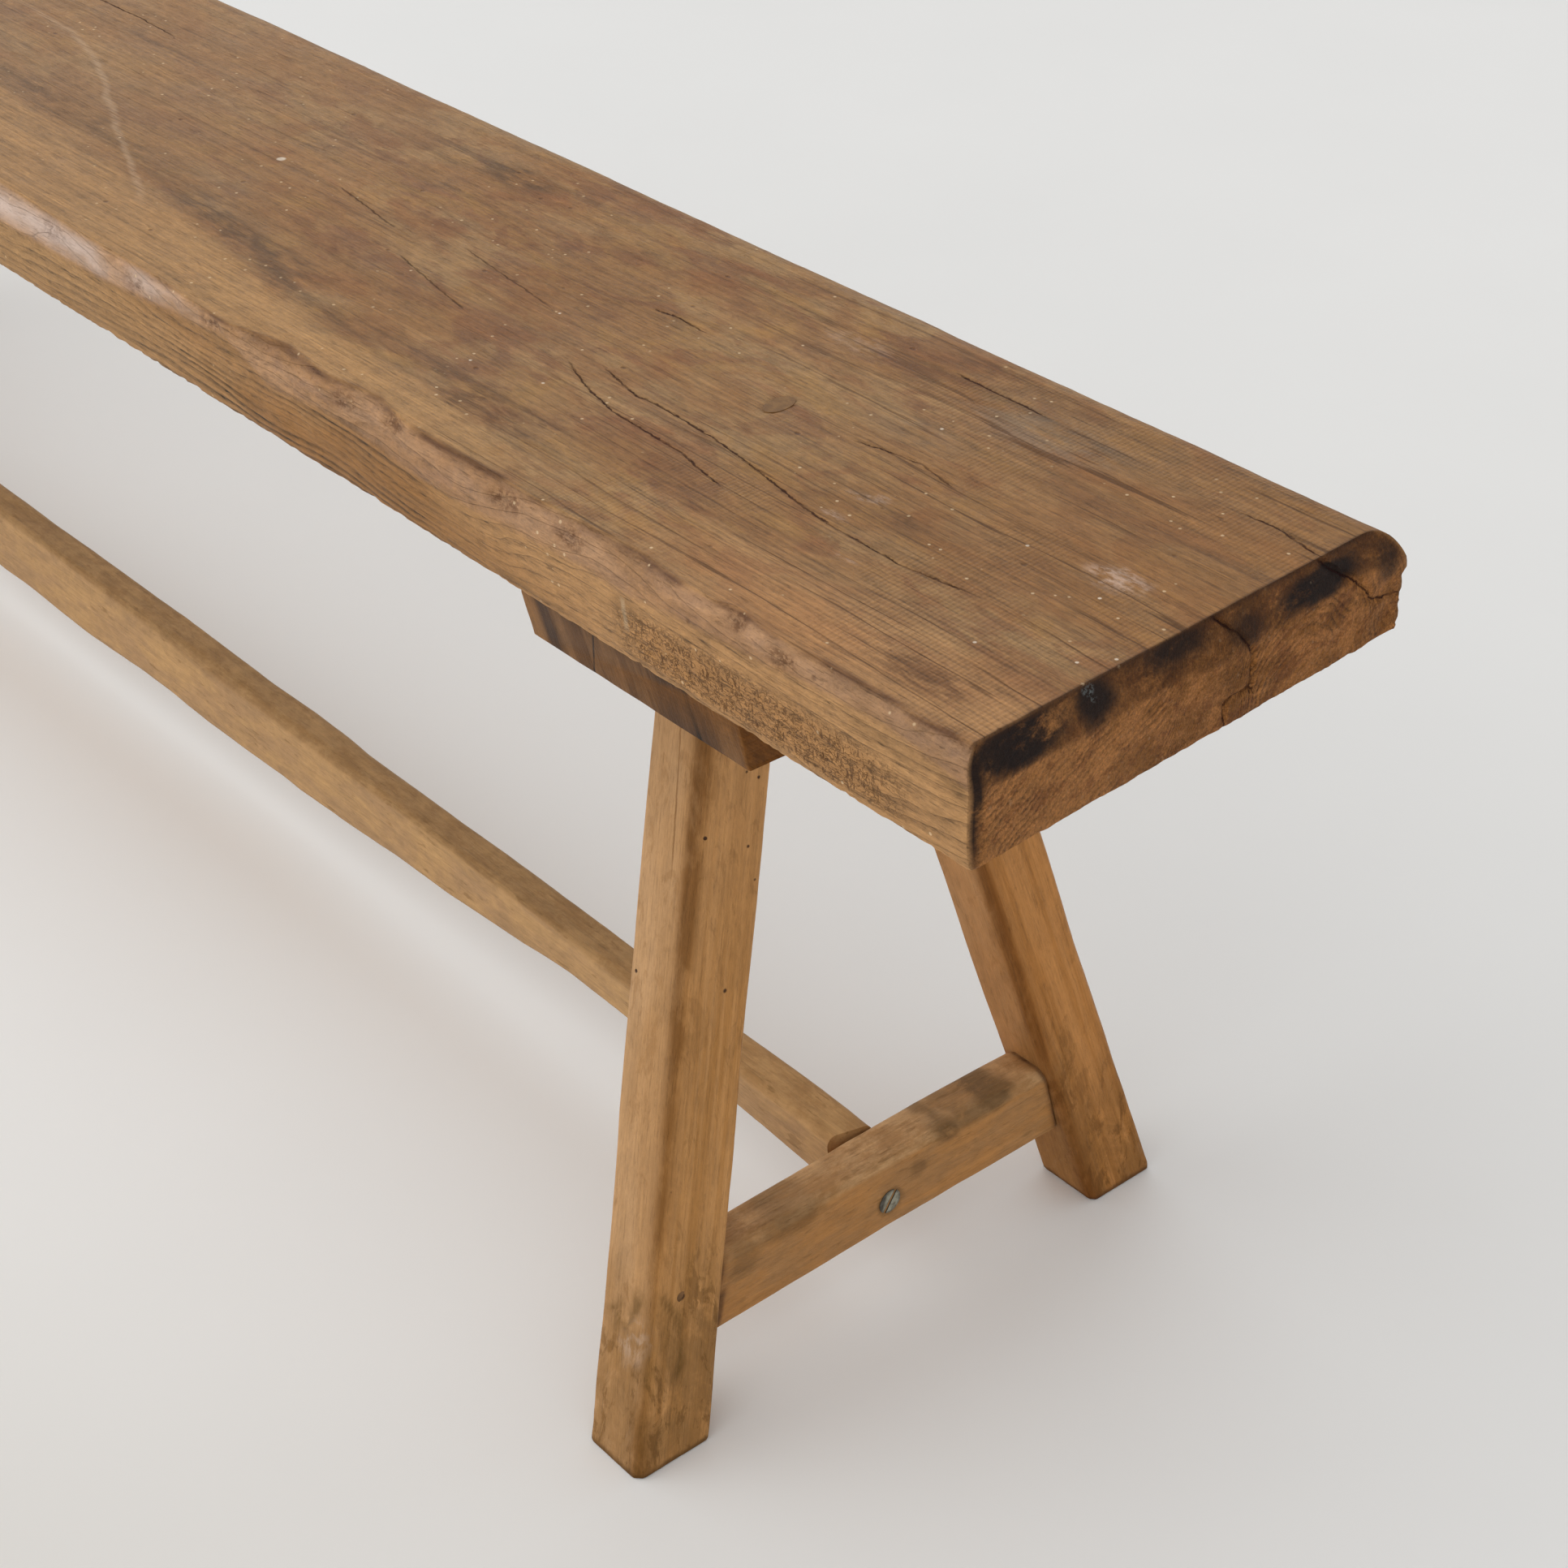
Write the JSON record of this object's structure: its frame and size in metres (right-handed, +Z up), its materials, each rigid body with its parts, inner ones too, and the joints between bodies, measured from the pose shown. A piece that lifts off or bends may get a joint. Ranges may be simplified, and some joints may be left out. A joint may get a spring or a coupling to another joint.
{
  "type": "backless bench",
  "caption": "Low rustic wooden bench: a thick plank seat on cleats, splayed tenoned legs, cross stretchers and one long low stretcher.",
  "frame": {"origin": "on the floor, under the middle of the bench", "axes": "+X along the seat towards its right-hand end as seen from the front, -Y towards the front, +Z up"},
  "size_m": [1.8, 0.3384, 0.45],
  "materials": {
    "seat_wood": "worn satin",
    "leg_wood": "worn satin",
    "stretcher_wood": "weathered matt",
    "cleat_wood": "weathered matt",
    "dark_wood": "worn satin",
    "screw_steel": "dull, tarnished"
  },
  "bodies": {
    "root": {"seat_plank": "seat_wood", "seat_plug_right": "dark_wood", "seat_plug_left": "dark_wood", "cleat_right": "cleat_wood", "cleat_left": "cleat_wood", "leg_front_right": "leg_wood", "leg_back_right": "leg_wood", "leg_front_left": "leg_wood", "leg_back_left": "leg_wood", "wedge_front_right": "dark_wood", "wedge_back_right": "dark_wood", "wedge_front_left": "dark_wood", "wedge_back_left": "dark_wood", "cross_stretcher_right": "stretcher_wood", "cross_stretcher_left": "stretcher_wood", "long_stretcher": "stretcher_wood", "peg_front_right": "dark_wood", "peg_back_right": "dark_wood", "peg_front_left": "dark_wood", "peg_back_left": "dark_wood", "stretcher_screw_right": "screw_steel", "stretcher_screw_left": "screw_steel", "cleat_screws_right": "screw_steel", "cleat_screws_left": "screw_steel", "seat_screw_right": "screw_steel", "seat_screw_left": "screw_steel"}
  },
  "joints": []
}
